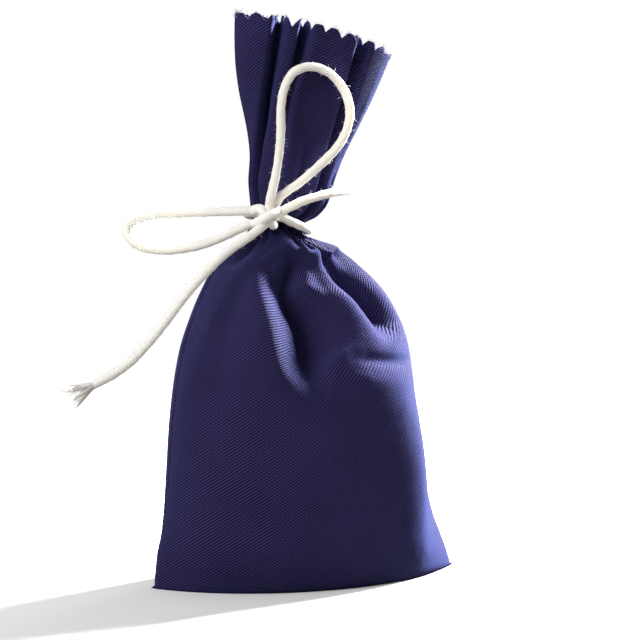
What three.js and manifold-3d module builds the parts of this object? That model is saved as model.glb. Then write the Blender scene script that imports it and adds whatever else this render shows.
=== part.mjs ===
import * as THREE from 'three';
import { mergeVertices } from 'three/addons/utils/BufferGeometryUtils.js';
import Module from 'manifold-3d';

const wasm = await Module();
wasm.setup();

// Lavender sachet: a twill pouch filled with dried lavender, its neck tied with one cotton cord in a bow.
// Millimetres. The front faces -Y, the width runs along X and the pouch stands on its base at Z zero.

// Driving dimensions of the pouch
const baseWidth = 94.6;
const bellyDepth = 52;
const tieHeight = 106.5;
const neckWidth = 15.8;
const neckDepth = 14;
const neckShift = -8.4;
const mouthLength = 54;
const mouthWidth = 48.6;
const mouthDepth = 21;
const mouthShift = 2.9;
const mouthCrown = 3.2;
const clothWall = 0.8;

// The tie and the mouth edge both slope down to the right: the drop for each unit of width
const tieSlopeShare = 0.32;
const mouthSlopeShare = 0.27;

// Pinked mouth edge
const teethPerPanel = 18;
const toothDepth = 2.4;

// Folds of the gathered cloth: how deep or how high each one is, and how far it reaches to its sides
const pocketDepth = 11.8;
const pocketReach = 10.5;
const ridgeHeight = 6.6;
const ridgeReach = 7.6;
const tuckHeight = 4.8;
const tuckReach = 4.4;
const crestHeight = 2.2;
const crestReach = 4.4;
const hollowDepth = 2.4;
const hollowReach = 12;
const valleyDepth = 7.6;
const valleyReach = 7.6;
const backFoldDepth = 5.6;
const backFoldReach = 8;
const backRidgeHeight = 2;
const backRidgeReach = 6;
const sideFoldDepth = 3.4;
const sideFoldReach = 6;
const gatherDepth = 1;
const pleatDepth = 4;

// Cord, its knot and its frayed end
const cordDiameter = 2.7;
const cordSides = 8;
const knotWidth = 6.2;
const knotHeight = 4.6;
const knotThickness = 4;
const frayLength = 8;
const fraySpread = 3.2;
const frayYarns = 8;
const yarnDiameter = 0.9;
const yarnSides = 5;

// Clearances
const seamGap = 0.3;
const fillGap = 0.8;
const cordGap = 0.3;
const wrapGap = 0.5;

const seamHalf = seamGap / 2;
const cordRadius = cordDiameter / 2;

// Rows of the pouch below the tie: height, width, depth, sideways shift and roundness of each section.
// Height is a share of the tie height. Width and depth go from the neck at 0 to the base or belly at 1.
const bodyShares = [
  [0, 1, 0.68, 0, 0.3],
  [0.014, 1, 0.77, 0, 0.33],
  [0.088, 0.95, 0.9, 0.12, 0.45],
  [0.154, 0.89, 0.96, 0.2, 0.6],
  [0.286, 0.815, 1, 0.32, 0.9],
  [0.484, 0.742, 1, 0.42, 1],
  [0.648, 0.68, 0.92, 0.37, 1],
  [0.748, 0.588, 0.763, 0.38, 1],
  [0.814, 0.49, 0.605, 0.48, 1],
  [0.88, 0.347, 0.38, 0.68, 1],
  [0.913, 0.238, 0.262, 0.68, 1],
  [0.946, 0.149, 0.15, 0.52, 1],
  [0.973, 0.042, 0.05, 0.8, 1],
  [0.985, 0, 0, 1, 1],
  [1, 0, 0, 1, 1],
];

// Rows of the flared mouth above the tie, from the neck at 0 to the mouth at 1
const mouthShares = [
  [0, 0, 0, 0, 1],
  [0.03, 0, 0, 0, 1],
  [0.075, 0.13, 0.1, 0.16, 1],
  [0.155, 0.25, 0.2, 0.3, 1],
  [0.286, 0.31, 0.3, 0.42, 0.95],
  [0.415, 0.42, 0.45, 0.5, 0.9],
  [0.61, 0.66, 0.65, 0.62, 0.8],
  [0.74, 0.8, 0.8, 0.73, 0.75],
  [0.87, 0.91, 0.9, 0.86, 0.7],
  [1, 1, 1, 1, 0.7],
];

// Heights of the mesh rows, as shares of the tie height and of the mouth length. Where the folds start, a row
// gets twice as many points, and one column of the front bends to follow the bottom of the pocket.
const bodyRowShares = [
  0, 0.014, 0.06, 0.13, 0.22, 0.34, 0.46, 0.54, 0.58, 0.62, 0.66, 0.7,
  0.74, 0.78, 0.82, 0.855, 0.885, 0.915, 0.945, 0.97, 0.985, 1,
];
const mouthRowShares = [0.03, 0.08, 0.15, 0.26, 0.4, 0.56, 0.72, 0.87, 1];
const foldsStartShare = 0.5;
const pocketColumnShare = 0.39;
const fillTopShare = 0.87;

// The cavity pinches shut at the neck: heights where it starts to close, is closed and is open again
const cavityClosesShare = 0.89;
const cavityClosedShare = 0.95;
const cavityOpensShare = 0.12;
const cavityOpenShare = 0.3;
const slopeStartsShare = 0.9;

// Lines of the folds below the tie, drawn up the panel or from left to right. Each point has its height, its
// place across, and the fold's depth and reach to the left and to the right of the line. The height is a share
// of the tie height, and the place runs from -1 to 1 over the cloth. The rest are shares of the fold's sizes.
const pocketShares = [
  [0.575, -0.055, 0.05, 0.5, 0.86], [0.629, -0.133, 0.6, 0.36, 1], [0.68, -0.152, 0.83, 0.28, 0.98],
  [0.742, -0.168, 0.98, 0.26, 0.88], [0.785, -0.217, 1, 0.26, 0.76], [0.832, -0.282, 0.8, 0.26, 0.57],
  [0.866, -0.312, 0.2, 0.24, 0.3],
];
const ridgeShares = [
  [0.56, -0.124, 0.1, 0.65, 0.65], [0.598, -0.273, 0.67, 0.62, 0.75], [0.625, -0.332, 0.85, 0.62, 0.84],
  [0.663, -0.373, 0.94, 0.63, 0.95], [0.725, -0.413, 1, 0.62, 1], [0.795, -0.459, 0.91, 0.58, 0.82],
  [0.841, -0.478, 0.76, 0.53, 0.63], [0.895, -0.489, 0.15, 0.4, 0.4],
];
const tuckShares = [
  [0.905, -0.49, 0.15, 0.7, 0.6], [0.885, -0.366, 0.6, 1, 0.75], [0.885, -0.287, 0.65, 1, 0.75],
  [0.9, -0.172, 0.5, 0.9, 0.75], [0.92, -0.09, 0.1, 0.6, 0.6],
];
const crestShares = [
  [0.72, 0.139, 0.1, 1, 1], [0.76, 0.113, 0.4, 1, 1], [0.831, 0.064, 1, 0.82, 0.64],
  [0.88, 0.039, 0.9, 0.68, 0.55], [0.93, -0.052, 0.2, 0.36, 0.4],
];
const hollowShares = [
  [0.62, 0.191, 0.12, 0.83, 1], [0.69, 0.129, 0.67, 0.83, 1], [0.77, 0.074, 1, 0.75, 1],
  [0.86, 0.102, 0.83, 0.67, 0.75], [0.93, 0.117, 0.33, 0.5, 0.5],
];
const valleyShares = [
  [0.705, 0.504, 0.3, 0.85, 0.8], [0.74, 0.467, 0.76, 0.85, 0.84], [0.8, 0.431, 1, 0.75, 0.84],
  [0.88, 0.405, 0.82, 0.53, 0.66], [0.92, 0.316, 0.5, 0.4, 0.53], [0.955, 0.109, 0.16, 0.28, 0.3],
];
const backFoldShares = [
  [0.6, 0.15, 0, 0.75, 1], [0.68, 0.13, 0.36, 0.63, 1], [0.76, 0.1, 0.79, 0.5, 0.88],
  [0.84, 0.07, 1, 0.4, 0.63], [0.9, 0.04, 0.75, 0.3, 0.43], [0.95, 0.02, 0.29, 0.2, 0.23],
];
const backRidgeShares = [
  [0.64, 0, 0, 1, 0.67], [0.72, -0.02, 0.6, 1, 0.57], [0.8, -0.06, 1, 0.83, 0.5],
  [0.87, -0.1, 0.9, 0.67, 0.4], [0.93, -0.12, 0.3, 0.43, 0.3],
];
const leftFoldShares = [
  [0.68, -0.46, 0, 1, 1], [0.75, -0.45, 0.53, 0.92, 0.83], [0.83, -0.42, 1, 0.67, 0.57],
  [0.9, -0.4, 0.88, 0.47, 0.4], [0.95, -0.42, 0.35, 0.27, 0.23],
];
const rightFoldShares = [
  [0.7, 0.58, 0, 0.83, 0.83], [0.77, 0.56, 0.35, 0.77, 0.77], [0.84, 0.52, 0.82, 0.57, 0.6],
  [0.9, 0.47, 0.76, 0.4, 0.47], [0.95, 0.45, 0.35, 0.23, 0.27],
];

// The folds of each panel. A fold runs inward by its depth, and a ridge, counted below zero, stands out.
const frontFolds = [
  { inward: pocketDepth, reach: pocketReach, shares: pocketShares },
  { inward: -ridgeHeight, reach: ridgeReach, shares: ridgeShares },
  { inward: -tuckHeight, reach: tuckReach, shares: tuckShares },
  { inward: -crestHeight, reach: crestReach, shares: crestShares },
  { inward: hollowDepth, reach: hollowReach, shares: hollowShares },
  { inward: valleyDepth, reach: valleyReach, shares: valleyShares },
];
const backFolds = [
  { inward: backFoldDepth, reach: backFoldReach, shares: backFoldShares },
  { inward: -backRidgeHeight, reach: backRidgeReach, shares: backRidgeShares },
  { inward: sideFoldDepth, reach: sideFoldReach, shares: leftFoldShares },
  { inward: sideFoldDepth, reach: sideFoldReach, shares: rightFoldShares },
];

// Pleat valleys of the mouth: place at the neck, place at the edge, width and depth
const frontPleatShares = [
  [-0.76, -0.5, 0.09, 1],
  [-0.4, -0.22, 0.08, 0.6],
  [0, 0.1, 0.14, 0.3],
  [0.36, 0.44, 0.09, 0.9],
];
const backPleatShares = [
  [-0.7, -0.62, 0.1, 0.8],
  [-0.35, -0.2, 0.1, 0.9],
  [0.02, 0.2, 0.1, 0.7],
  [0.4, 0.56, 0.1, 0.9],
];
const gatherWaves = 5;

// Folds fade to nothing at the seams: the share of a section's depth where they are whole.
// Along the height, the wall gets an even thickness where the folds start, the gathers start and are whole, all
// folds flatten under the tie, and pleats grow above it.
const reliefFullShare = 0.45;
const evenWallShares = [0.46, 0.58];
const gatherStartShares = [0.7, 0.85];
const tieFlattensShares = [0.93, 1];
const pleatGrowthShares = [0, 0.5];

const mix = THREE.MathUtils.lerp;
const ramp = THREE.MathUtils.smoothstep;

// A smooth value from a table, by the share in its first column
function tableShare(shares, column, place) {
  const last = shares.length - 1;
  const above = shares.findIndex((row) => row[0] > place);
  const at = above < 0 ? last - 1 : Math.max(above - 1, 0);
  const slopeAt = (row) => {
    const before = shares[Math.max(row - 1, 0)];
    const after = shares[Math.min(row + 1, last)];
    return (after[column] - before[column]) / (after[0] - before[0]);
  };
  const run = shares[at + 1][0] - shares[at][0];
  const t = THREE.MathUtils.clamp((place - shares[at][0]) / run, 0, 1);
  const bend = t * t * (3 - 2 * t);
  const tangents = slopeAt(at) * t * (1 - t) * (1 - t) - slopeAt(at + 1) * t * t * (1 - t);
  return mix(shares[at][column], shares[at + 1][column], bend) + run * tangents;
}

// One level section of the pouch below the tie
function bodySection(place) {
  return {
    height: tieHeight * place,
    halfWidth: mix(neckWidth, baseWidth, tableShare(bodyShares, 1, place)) / 2,
    halfDepth: mix(neckDepth, bellyDepth, tableShare(bodyShares, 2, place)) / 2,
    middle: neckShift * tableShare(bodyShares, 3, place),
    round: tableShare(bodyShares, 4, place),
    slope: tieSlopeShare * ramp(place, slopeStartsShare, 1),
    open: 1 - ramp(place, cavityClosesShare, cavityClosedShare),
    crown: 0,
    rise: 1 - place,
    place,
  };
}

// One section of the flared mouth above the tie
function mouthSection(place) {
  return {
    height: tieHeight + mouthLength * place,
    halfWidth: mix(neckWidth, mouthWidth, tableShare(mouthShares, 1, place)) / 2,
    halfDepth: mix(neckDepth, mouthDepth, tableShare(mouthShares, 2, place)) / 2,
    middle: mix(neckShift, mouthShift, tableShare(mouthShares, 3, place)),
    round: tableShare(mouthShares, 4, place),
    slope: mix(tieSlopeShare, mouthSlopeShare, place),
    open: ramp(place, cavityOpensShare, cavityOpenShare),
    crown: mouthCrown * place,
    rise: 0,
    above: place,
  };
}

// The depth of a section at a place across it, as a share of its half depth
function depthShareAt(section, u) {
  return mix(1 - u * u, Math.cos(u * Math.PI / 2), section.round);
}

// A point on the plain skin of the pouch, as across, out and up. The inset is zero outside and more inside.
function plainPoint(section, u, inset) {
  const x = section.middle + (section.halfWidth - inset) * mix(u, Math.sin(u * Math.PI / 2), section.round);
  const out = (section.halfDepth - inset) * depthShareAt(section, u);
  const crown = section.crown * (1 - u * u);
  const z = section.height + crown + inset * section.rise - section.slope * (x - section.middle);
  return new THREE.Vector3(x, out, z);
}

// Places across a row, from the left seam at -1 to the right seam at 1
function placesAcross(spans) {
  return Array.from({ length: spans + 1 }, (_, i) => -1 + 2 * i / spans);
}

// Where a share of the cloth's width, from -1 to 1, lies on a section
const measuringSpans = 120;
function clothPlaces(section, shares) {
  const spots = placesAcross(measuringSpans);
  const curve = spots.map((u) => plainPoint(section, u, 0));
  const lengths = [0];
  for (let i = 1; i < curve.length; i += 1) {
    lengths.push(lengths[i - 1] + curve[i].distanceTo(curve[i - 1]));
  }
  return shares.map((share) => {
    const length = lengths.at(-1) * (share + 1) / 2;
    const next = Math.max(lengths.findIndex((sum) => sum >= length), 1);
    const part = (length - lengths[next - 1]) / (lengths[next] - lengths[next - 1]);
    return mix(spots[next - 1], spots[next], part);
  });
}

// The line of a fold on the plain skin, with its depth and reach at each point
function foldLine({ inward, reach, shares }) {
  return shares.map(([height, across, depth, left, right]) => {
    const section = bodySection(height);
    const point = plainPoint(section, clothPlaces(section, [across])[0], 0);
    return { point, values: new THREE.Vector3(inward * depth, reach * left, reach * right) };
  });
}

// How far a fold moves a point inward, from the nearest place on its line
function foldDepthAt(point, wayOut, line) {
  let nearest = Infinity;
  let inward = 0;
  for (let i = 0; i + 1 < line.length; i += 1) {
    const run = line[i + 1].point.clone().sub(line[i].point);
    const t = THREE.MathUtils.clamp(point.clone().sub(line[i].point).dot(run) / run.lengthSq(), 0, 1);
    const offset = point.clone().sub(line[i].point).addScaledVector(run, -t);
    if (offset.length() < nearest) {
      nearest = offset.length();
      const [depth, left, right] = line[i].values.clone().lerp(line[i + 1].values, t).toArray();
      const toRight = offset.normalize().dot(wayOut.clone().cross(run).normalize());
      inward = depth * Math.exp(-((nearest / mix(left, right, (1 + toRight) / 2)) ** 2));
    }
  }
  return inward;
}

// How far the folds move a point of the skin inward: folds and gathers below the tie, pleats above it
function relief(section, share, point, wayOut, isFront, lines) {
  if (section.above !== undefined) {
    const valleys = isFront ? frontPleatShares : backPleatShares;
    const strength = pleatDepth * ramp(section.above, ...pleatGrowthShares);
    return strength * valleys.reduce((sum, [low, high, width, depth]) => {
      const off = (share - mix(low, high, section.above)) / width;
      return sum + depth * Math.exp(-off * off);
    }, 0);
  }
  const settle = 1 - ramp(section.place, ...tieFlattensShares);
  const gather = gatherDepth * ramp(section.place, ...gatherStartShares);
  const waves = gather * (1 - Math.cos(gatherWaves * Math.PI * share)) / 2;
  return settle * lines.reduce((sum, line) => sum + foldDepthAt(point, wayOut, line), waves);
}

// The way out of a skin at each of its points, across its rows and columns
function waysOut(rows) {
  return rows.map((row, i) => row.map((point, j) => {
    const along = row[Math.min(j + 1, row.length - 1)].clone().sub(row[Math.max(j - 1, 0)]);
    const up = rows[Math.min(i + 1, rows.length - 1)][j].clone().sub(rows[Math.max(i - 1, 0)][j]);
    return up.cross(along).normalize();
  }));
}

// Places of a row's points over the cloth, with the front's columns bent to the pocket between its ends
function columnShares(section, isFront) {
  const even = placesAcross(2 * teethPerPanel);
  if (!isFront || !(section.place > foldsStartShare)) {
    return even;
  }
  const from = even[Math.round(pocketColumnShare * (even.length - 1))];
  const to = tableShare([[foldsStartShare, from], ...pocketShares, [1, from]], 1, section.place);
  return even.map((share) => (share < from
    ? mix(-1, to, (share + 1) / (from + 1))
    : mix(to, 1, (share - from) / (1 - from))));
}

// The folded outer skin of a panel, row by row
function foldedSkin(isFront) {
  const lines = (isFront ? frontFolds : backFolds).map(foldLine);
  const sections = [...bodyRowShares.map(bodySection), ...mouthRowShares.map(mouthSection)];
  const shares = sections.map((section) => columnShares(section, isFront));
  const places = sections.map((section, i) => clothPlaces(section, shares[i]));
  const plain = sections.map((section, i) => places[i].map((u) => plainPoint(section, u, 0)));
  const ways = waysOut(plain);
  const shifts = plain.map((row, i) => row.map((point, j) => {
    const fade = Math.min(1, depthShareAt(sections[i], places[i][j]) / reliefFullShare);
    const inward = relief(sections[i], shares[i][j], point, ways[i][j], isFront, lines);
    return ways[i][j].clone().multiplyScalar(-fade * inward);
  }));
  const outer = plain.map((row, i) => row.map((point, j) => point.clone().add(shifts[i][j])));
  return { sections, places, shifts, outer, ways: waysOut(outer) };
}

// A row of points on a folded skin at an inset: across, out and up
function skinRow(skin, i, inset) {
  const section = skin.sections[i];
  const even = section.above === undefined
    ? ramp(section.place, ...evenWallShares) * (1 - ramp(section.place, ...tieFlattensShares))
    : 0;
  const row = skin.places[i].map((u, j) => {
    const point = plainPoint(section, u, inset).add(skin.shifts[i][j]);
    const share = even * Math.min(1, depthShareAt(section, u) / reliefFullShare);
    if (inset > 0) {
      point.lerp(skin.outer[i][j].clone().addScaledVector(skin.ways[i][j], -inset), share);
      point.y *= section.open;
    }
    point.y = Math.max(point.y, 0);
    return point;
  });
  return section.place < foldsStartShare ? row.filter((_, j) => j % 2 === 0) : row;
}

// Triangles between two rows of points, where the upper row has as many spans or twice as many
function stitch(lower, upper, triangles) {
  const twice = upper.length > lower.length;
  for (let i = 0; i + 1 < lower.length; i += 1) {
    const [a, b] = [lower[i], lower[i + 1]];
    if (twice) {
      const [c, d, e] = [upper[2 * i], upper[2 * i + 1], upper[2 * i + 2]];
      triangles.push([a, d, c], [a, b, d], [b, e, d]);
    } else {
      triangles.push([a, b, upper[i + 1]], [a, upper[i + 1], upper[i]]);
    }
  }
}

// A closed geometry from triangles, facing out, without the ones that have shrunk to nothing
function closedGeometry(triangles) {
  const whole = triangles.filter(([a, b, c]) => !a.equals(b) && !b.equals(c) && !c.equals(a));
  const volume = whole.reduce((sum, [a, b, c]) => sum + a.dot(b.clone().cross(c)), 0);
  const corners = whole.flatMap(([a, b, c]) => (volume < 0 ? [a, c, b] : [a, b, c]));
  return mergeVertices(new THREE.BufferGeometry().setFromPoints(corners));
}

// One cloth panel: a shell with an outer skin, an inner skin and flat edges on the seam
function panelGeometry(isFront) {
  const side = isFront ? -1 : 1;
  const folded = foldedSkin(isFront);
  const skin = (inset) => {
    const rows = folded.sections.map((_, i) => skinRow(folded, i, inset));
    const seamRow = rows[0].map(({ x, z }) => new THREE.Vector3(x, 0, z));
    const placed = ({ x, y, z }) => new THREE.Vector3(x, side * (y + seamHalf), z);
    return [seamRow, ...rows].map((row) => row.map(placed));
  };
  const outer = skin(0);
  const inner = skin(clothWall);
  [outer, inner].forEach((rows) => rows.at(-1).forEach((point, i) => {
    point.z += (i % 2 ? 1 : -1) * toothDepth / 2;
  }));
  const triangles = [];
  for (let i = 0; i + 1 < outer.length; i += 1) {
    stitch(outer[i], outer[i + 1], triangles);
    const inward = [];
    stitch(inner[i], inner[i + 1], inward);
    triangles.push(...inward.map(([a, b, c]) => [a, c, b]));
    stitch([inner[i][0], outer[i][0]], [inner[i + 1][0], outer[i + 1][0]], triangles);
    stitch([outer[i].at(-1), inner[i].at(-1)], [outer[i + 1].at(-1), inner[i + 1].at(-1)], triangles);
  }
  stitch(inner[0], outer[0], triangles);
  stitch(outer.at(-1), inner.at(-1), triangles);
  return closedGeometry(triangles);
}

// The loose buds: one body that fills the cavity up to where the gathers start
function fillingGeometry() {
  const inset = clothWall + fillGap;
  const rings = [-1, 1].map((side) => {
    const folded = foldedSkin(side < 0);
    const filled = folded.sections.filter(({ place }) => place <= fillTopShare);
    const placed = ({ x, y, z }) => new THREE.Vector3(x, side * y, z);
    return filled.map((_, i) => skinRow(folded, i, inset).map(placed));
  });
  const [front, back] = rings;
  const triangles = [];
  for (let i = 0; i + 1 < front.length; i += 1) {
    stitch(front[i], front[i + 1], triangles);
    const backward = [];
    stitch(back[i], back[i + 1], backward);
    triangles.push(...backward.map(([a, b, c]) => [a, c, b]));
  }
  stitch(back[0], front[0], triangles);
  stitch(front.at(-1), back.at(-1), triangles);
  return closedGeometry(triangles);
}

// A length of cord or yarn along a route, with its cut ends square
function cordGeometry(route, radius, steps, sides = cordSides) {
  const section = new THREE.Shape(Array.from({ length: sides }, (_, i) => {
    const angle = 2 * Math.PI * i / sides;
    return new THREE.Vector2(radius * Math.cos(angle), radius * Math.sin(angle));
  }));
  const extrudePath = new THREE.CatmullRomCurve3(route);
  return new THREE.ExtrudeGeometry(section, { steps, extrudePath, bevelEnabled: false });
}

function toSolid(geometry) {
  const bare = geometry.clone();
  bare.deleteAttribute('normal');
  bare.deleteAttribute('uv');
  const merged = mergeVertices(bare);
  return new wasm.Manifold(new wasm.Mesh({
    numProp: 3,
    vertProperties: new Float32Array(merged.attributes.position.array),
    triVerts: new Uint32Array(merged.index.array),
  }));
}

function toGeometry(solid) {
  const mesh = solid.getMesh();
  const geometry = new THREE.BufferGeometry();
  geometry.setAttribute('position', new THREE.BufferAttribute(mesh.vertProperties, mesh.numProp));
  geometry.setIndex(new THREE.BufferAttribute(mesh.triVerts, 1));
  return geometry;
}

// Routes of the one cord, measured from the knot outward. Points are chosen by hand.
const points = (list) => list.map(([x, y, z]) => new THREE.Vector3(x, y, z));
const upperLoopRoute = points([
  [-14.5, -10.6, 111], [-14.4, -11, 113.9], [-13, -11.5, 120.4], [-12, -12, 127.2], [-11.5, -12.3, 134],
  [-11.5, -12.4, 140.7], [-10.4, -12.4, 146.4], [-7.5, -12.3, 150.7], [-2.3, -12.2, 152.2], [3.3, -12.2, 150.2],
  [7.6, -12.2, 145.5], [9.6, -12.2, 139.6], [8.8, -12.2, 134.2], [6.2, -12.2, 129.4], [2.4, -12.2, 125.5],
  [-2.3, -12, 121.5], [-5.7, -11.5, 118.7], [-9, -10.5, 116.4], [-11.1, -9.4, 114.4], [-12, -8.5, 112.4],
]);
const leftLoopRoute = points([
  [-15.4, -8.4, 110.8], [-19.3, -7, 110.8], [-26.8, -4, 110.4], [-35.5, 0, 110.1], [-43.8, 3.4, 109.6],
  [-50, 5, 108], [-52.9, 4.2, 105.2], [-51.4, 1.6, 101.7], [-45.8, -1.4, 99.8], [-38.4, -4.2, 100.2],
  [-30.8, -6.8, 102.2], [-23.6, -8.4, 105.4], [-19.4, -8.6, 107], [-15.4, -8.6, 107.5],
]);
const leftTailRoute = points([
  [-15.1, -11.1, 107.8], [-18.6, -12.8, 105.8], [-22.4, -13.5, 103.5], [-28.3, -14.5, 100.1], [-33.9, -15.7, 95.9],
  [-39.8, -17.2, 90.8], [-45, -18.4, 85.4], [-50, -19.6, 80], [-55, -20.6, 74.9], [-60, -21.5, 70.7],
  [-65.5, -22.1, 67.4], [-71, -22.4, 64.9],
]);
const rightTailRoute = points([
  [-13, -10.3, 109], [-11.6, -11.4, 110.4], [-8.9, -12.5, 111.9], [-4.7, -12.9, 113.7], [-0.1, -12.1, 114.7],
  [4.5, -10.5, 115.4], [8.6, -7.3, 115.6], [11.9, -3, 115.2], [14.5, 1.9, 114.4],
]);

// Knot: the crossed strands and the band that grips them, set on the front left of the neck
const knotCentre = new THREE.Vector3(-14.3, -9.2, 108.6);
const knotFacing = new THREE.Vector3(-0.57, -0.82, 0).normalize();
const knotRight = new THREE.Vector3(-knotFacing.y, knotFacing.x, 0);
function knotPoint([right, out, up]) {
  return knotCentre.clone()
    .addScaledVector(knotRight, right * knotWidth / 2)
    .addScaledVector(knotFacing, out * knotThickness / 2)
    .add(new THREE.Vector3(0, 0, up * knotHeight / 2));
}
const firstStrandShares = [[-1.05, -0.5, 0.35], [-0.4, 0.1, 0.15], [0.4, 0, -0.25], [1.05, -0.6, -0.5]];
const secondStrandShares = [[-0.95, -0.2, -0.6], [-0.3, -0.6, -0.15], [0.35, -0.5, 0.35], [0.95, 0, 0.65]];
const bandRadiusShare = 0.72;
const bandTurnShare = 0.93;
const bandPoints = 14;
const bandRoute = Array.from({ length: bandPoints }, (_, i) => {
  const angle = 2 * Math.PI * bandTurnShare * (i / (bandPoints - 1) - 1 / 2);
  return knotPoint([0, bandRadiusShare * Math.cos(angle), bandRadiusShare * Math.sin(angle)]);
});
const strandSteps = 8;
const bandSteps = 20;
const coreSides = 12;
const coreRows = 8;
function strandRoute(shares, extra) {
  const route = shares.map(knotPoint);
  const [first, second] = route;
  const [beforeLast, last] = route.slice(-2);
  const head = first.clone().add(first.clone().sub(second).setLength(extra));
  const tail = last.clone().add(last.clone().sub(beforeLast).setLength(extra));
  return [head, ...route.slice(1, -1), tail];
}
function knotSolid(extra) {
  const core = new THREE.SphereGeometry(1, coreSides, coreRows);
  core.scale(knotWidth / 2 + extra, knotThickness / 2 + extra, knotHeight / 2 + extra);
  core.rotateZ(Math.atan2(knotRight.y, knotRight.x));
  core.translate(knotCentre.x, knotCentre.y, knotCentre.z);
  const strands = [
    cordGeometry(strandRoute(firstStrandShares, extra), cordRadius + extra, strandSteps),
    cordGeometry(strandRoute(secondStrandShares, extra), cordRadius + extra, strandSteps),
    cordGeometry(bandRoute, cordRadius + extra, bandSteps),
  ];
  return strands.reduce((whole, strand) => whole.add(toSolid(strand)), toSolid(core));
}
const knot = knotSolid(0);
const knotRoom = knotSolid(cordGap);

// The turn of cord round the neck, which starts and ends at the knot
const wrapRadii = [neckWidth / 2 + cordRadius + wrapGap, neckDepth / 2 + cordRadius + wrapGap];
const wrapSteps = 40;
const wrapStartShare = 0.03;
const knotAngle = Math.atan2(knotCentre.y / wrapRadii[1], (knotCentre.x - neckShift) / wrapRadii[0]);
const wrapRoute = Array.from({ length: wrapSteps + 1 }, (_, i) => {
  const share = mix(wrapStartShare, 1 - wrapStartShare, i / wrapSteps);
  const angle = knotAngle + 2 * Math.PI * share;
  const x = wrapRadii[0] * Math.cos(angle);
  return new THREE.Vector3(neckShift + x, wrapRadii[1] * Math.sin(angle), tieHeight - tieSlopeShare * x);
});

// A free length of cord, seated on the knot with the cord gap between them
const loopSteps = 34;
const leftTailSteps = 18;
const rightTailSteps = 12;
function cordSolid(route, steps) {
  return toSolid(cordGeometry(route, cordRadius, steps)).subtract(knotRoom);
}

// The unravelled end: yarns that splay from the cut end of the left tail
const frayShortestShare = 0.75;
const frayBulgeShare = 0.2;
const fraySteps = 3;
const frayRoot = leftTailRoute.at(-1);
const frayAxis = frayRoot.clone().sub(leftTailRoute.at(-2)).normalize();
function fraySolid() {
  const start = frayRoot.clone().addScaledVector(frayAxis, cordGap);
  const across = new THREE.Vector3(0, 0, 1).cross(frayAxis).normalize();
  const over = frayAxis.clone().cross(across);
  const yarns = Array.from({ length: frayYarns }, (_, i) => {
    const angle = 2 * Math.PI * i / frayYarns;
    const out = across.clone().multiplyScalar(Math.cos(angle)).addScaledVector(over, Math.sin(angle));
    const length = frayLength * mix(frayShortestShare, 1, (i % 3) / 2);
    const ring = (cordRadius - yarnDiameter / 2) / 2;
    const route = [
      start.clone().addScaledVector(out, ring),
      start.clone().addScaledVector(out, ring + fraySpread * frayBulgeShare)
        .addScaledVector(frayAxis, length / 2),
      start.clone().addScaledVector(out, ring + fraySpread).addScaledVector(frayAxis, length),
    ];
    return toSolid(cordGeometry(route, yarnDiameter / 2, fraySteps, yarnSides));
  });
  return yarns.reduce((whole, yarn) => whole.add(yarn));
}

// Least gap of a bent cord to itself, measured on points along it
const gapSpots = 120;
const nearbyDiameters = 3;
function leastGap(route) {
  const curve = new THREE.CatmullRomCurve3(route);
  const spots = curve.getSpacedPoints(gapSpots);
  const step = curve.getLength() / gapSpots;
  let least = Infinity;
  spots.forEach((spot, i) => spots.slice(i + 1).forEach((other, j) => {
    if ((j + 1) * step > nearbyDiameters * cordDiameter) {
      least = Math.min(least, spot.distanceTo(other) - cordDiameter);
    }
  }));
  return least;
}

const twill = new THREE.MeshStandardMaterial({ color: 0x261e4b, roughness: 0.75, metalness: 0 });
const cotton = new THREE.MeshStandardMaterial({ color: 0xf6eedd, roughness: 0.95, metalness: 0 });
const buds = new THREE.MeshStandardMaterial({ color: 0x83786f, roughness: 1, metalness: 0 });

const sachet = new THREE.Group();
function place(name, geometry, material) {
  const mesh = new THREE.Mesh(geometry, material);
  mesh.name = name;
  sachet.add(mesh);
}

place('front_panel', panelGeometry(true), twill);
place('back_panel', panelGeometry(false), twill.clone());
place('lavender_filling', fillingGeometry(), buds);
place('neck_wrap', toGeometry(cordSolid(wrapRoute, wrapSteps)), cotton);
place('bow_knot', toGeometry(knot), cotton.clone());
place('bow_loop_upper', toGeometry(cordSolid(upperLoopRoute, loopSteps)), cotton.clone());
place('bow_loop_left', toGeometry(cordSolid(leftLoopRoute, loopSteps)), cotton.clone());
place('cord_tail_left', toGeometry(cordSolid(leftTailRoute, leftTailSteps)), cotton.clone());
place('cord_tail_right', toGeometry(cordSolid(rightTailRoute, rightTailSteps)), cotton.clone());
place('frayed_end', toGeometry(fraySolid()), cotton.clone());

[['neck_wrap', wrapRoute], ['bow_loop_upper', upperLoopRoute], ['bow_loop_left', leftLoopRoute]]
  .forEach(([name, route]) => console.log(`${name}: least gap to itself ${leastGap(route).toFixed(2)} mm`));

export default sachet;
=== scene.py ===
"""Lavender sachet: a twill pouch of dried lavender, tied at the neck with one cotton cord in a bow."""

import math
import random

import bmesh
import bpy
import numpy as np
from mathutils import Matrix, Vector


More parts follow.
